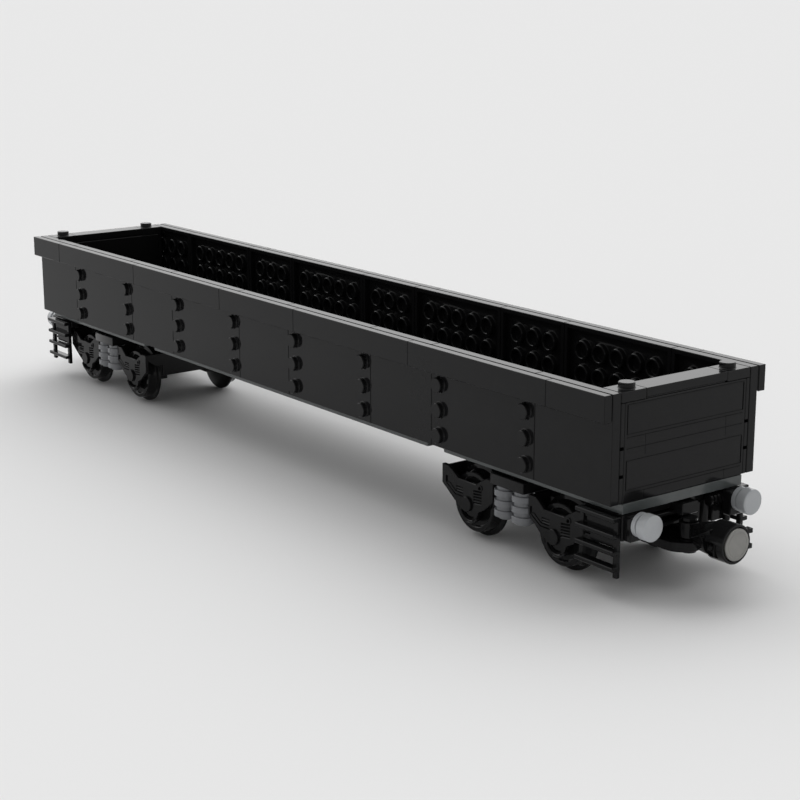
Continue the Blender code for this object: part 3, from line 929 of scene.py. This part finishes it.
def build_floor():
    put("deck_tiles", finished(deck()), BLACK, BODY, (0, 0, WALL_FOOT), nodes=["deck"])
    plates = {}
    for where in ("front", "middle", "rear"):
        node = f"base_plate_{where}"
        low, high = box(node)
        half = (high.x - low.x) / 2 + GAP
        key = round(half)
        if key not in plates:
            plates[key] = finished(base_plate(half)), finished(base_lining(half))
        shell, lining = plates[key]
        place = ((low.x + high.x) / 2, 0, UNDERSIDE)
        put(f"{node}_shell", shell, GREY, BODY, place, nodes=[node])
        put(f"{node}_lining", lining, BLACK, BODY, place)


def build_ends():
    wall, cap, beam = finished(end_wall()), finished(end_cap()), finished(headstock())
    bumper_cap, bumper_plate, steps = finished(buffer_cap()), finished(buffer_plate()), finished(ladder())
    cap_foot = WALL_HEIGHT - PLATE
    for end, sign, turn in ENDS:
        place = Vector((sign * HALF_LENGTH, 0, WALL_FOOT))
        put(f"end_wall_{end}_courses", wall, BLACK, BODY, place, turn, [f"end_wall_{end}"])
        up = place + Vector((0, 0, cap_foot))
        put(f"end_cap_{end}_course", cap, BLACK, BODY, up, turn, [f"end_cap_{end}"])
        put(f"headstock_{end}_beam", beam, BLACK, BODY, place, turn, [f"headstock_{end}"])
        for side, across, facing in SIDES:
            node = f"buffer_{end}_{side}"
            centre = middle(node)
            at_face = (sign * HALF_LENGTH, centre.y, centre.z)
            put(f"{node}_cap", bumper_cap, LIGHT_GREY, BODY, at_face, turn, [node])
            put(f"{node}_plate", bumper_plate, LIGHT_GREY, BODY, at_face, turn)
            node = f"ladder_{end}_{side}"
            at_corner = (middle(node).x, across * HALF_BEAM, 0)
            put(f"{node}_frame", steps, BLACK, BODY, at_corner, facing, [node])


def build_bogies():
    beam, holder, springs = finished(bolster()), finished(wheel_holder()), finished(spring_pair())
    wheels, arm, disc = finished(wheelset()), finished(coupler()), finished(magnet())
    for end, sign, turn in ENDS:
        body = f"bogie_{end}"
        put(f"bolster_{end}_plate", beam, BLACK, body, (sign * BOGIE_X, 0, 0), turn, [f"bolster_{end}"])
        for where, spin in (("outer", HALF_TURN), ("inner", 0)):
            axle = middle(f"wheelset_{end}_{where}")
            node = f"wheel_holder_{end}_{where}"
            put(f"{node}_frame", holder, BLACK, body, axle, turn + spin, [node])
            node = f"wheelset_{end}_{where}"
            put(f"{node}_wheels", wheels, BLACK, node, axle, turn, [node])
        for side, _, _ in SIDES:
            node = f"spring_pair_{end}_{side}"
            centre = middle(node)
            place = (centre.x, centre.y, 0)
            # The springs get the darker copy of the light grey plastic: painted shade, for the shade under
            # the wagon's side.
            put(f"{node}_stacks", springs, LIGHT_GREY, body, place, turn, [node], SPRING_PAINTED_SHADE_GREY)
        node = f"coupler_{end}"
        put(f"{node}_head", arm, BLACK, node, (sign * COUPLER_X, 0, 0), turn, [node])
        node = f"magnet_{end}"
        put(f"{node}_disc", disc, NICKEL, node, (sign * MAGNET_FACE, 0, COUPLER_AXIS), turn, [node])


def finish_cad_nodes():
    """The pins stay as the CAD has them, in better materials."""
    for end, _, _ in ENDS:
        for node, slot in ((f"king_pin_{end}", GREY), (f"coupler_pin_{end}", BLACK)):
            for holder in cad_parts[node].material_slots:
                holder.link = "OBJECT"
                holder.material = finishes[slot]


# The studio


HORIZON = 0.8  # brightness of the sky where it meets the floor
DIMMEST, BRIGHTEST = 0.28, 2.24  # brightness of the upper sky, away from the glow and in its middle
GLOW = Vector((-0.70, 0.42, 0.58)).normalized()  # direction of the sky's brightest part
CAMERA_PLACE = Vector((505.66, -347.27, 173.74))
CAMERA_LENS = 78.26


def build_studio():
    """A pale floor under a soft sky, which is brightest behind the wagon."""
    bm = bmesh.new()
    bmesh.ops.create_grid(bm, x_segments=1, y_segments=1, size=40.0)
    floor = bpy.data.objects.new("studio_floor", shape_of(bm))
    bpy.context.scene.collection.objects.link(floor)
    material = bpy.data.materials.new("studio_floor")
    material.use_nodes = True
    shader = material.node_tree.nodes["Principled BSDF"]
    shader.inputs["Base Color"].default_value = (0.8, 0.8, 0.8, 1)
    shader.inputs["Roughness"].default_value = 1.0
    shader.inputs["Specular IOR Level"].default_value = 0.0
    floor.data.materials.append(material)

    world = bpy.data.worlds.new("studio_sky")
    bpy.context.scene.world = world
    world.use_nodes = True
    tree = world.node_tree
    towards = tree.nodes.new("ShaderNodeTexCoord").outputs["Generated"]
    facing = add(tree, "ShaderNodeVectorMath", {0: towards, 1: GLOW})
    facing.operation = "DOT_PRODUCT"
    span = {"From Min": 0.2, "From Max": 1.0, "To Min": DIMMEST - HORIZON, "To Max": BRIGHTEST - HORIZON}
    glow = add(tree, "ShaderNodeMapRange", {"Value": facing.outputs["Value"], **span})
    glow.interpolation_type = "SMOOTHSTEP"
    split = add(tree, "ShaderNodeSeparateXYZ", {"Vector": towards})
    height = add(tree, "ShaderNodeMapRange", {"Value": split.outputs["Z"], "From Max": 0.45})
    height.interpolation_type = "SMOOTHSTEP"
    total = add(tree, "ShaderNodeMath", {0: glow.outputs["Result"], 1: height.outputs["Result"], 2: HORIZON})
    total.operation = "MULTIPLY_ADD"
    background = tree.nodes["Background"]
    tree.links.new(total.outputs["Value"], background.inputs["Strength"])
    background.inputs["Color"].default_value = (1.0, 1.0, 1.0, 1)


def build_camera():
    """The camera, a little above the front right corner."""
    camera = bpy.data.objects.new("camera", bpy.data.cameras.new("camera"))
    bpy.context.scene.collection.objects.link(camera)
    camera.data.lens = CAMERA_LENS
    camera.data.clip_end = 100.0
    azimuth, elevation, roll = math.radians(53.198), math.radians(14.185), math.radians(-0.133)
    place = Matrix.Translation(CAMERA_PLACE * MM)
    aim = Matrix.Rotation(azimuth, 4, "Z") @ Matrix.Rotation(math.pi / 2 - elevation, 4, "X")
    camera.matrix_world = place @ aim @ Matrix.Rotation(roll, 4, "Z")
    bpy.context.scene.camera = camera
    bpy.context.scene.view_settings.view_transform = "Standard"


build_walls()
build_floor()
build_ends()
build_bogies()
finish_cad_nodes()
build_studio()
build_camera()
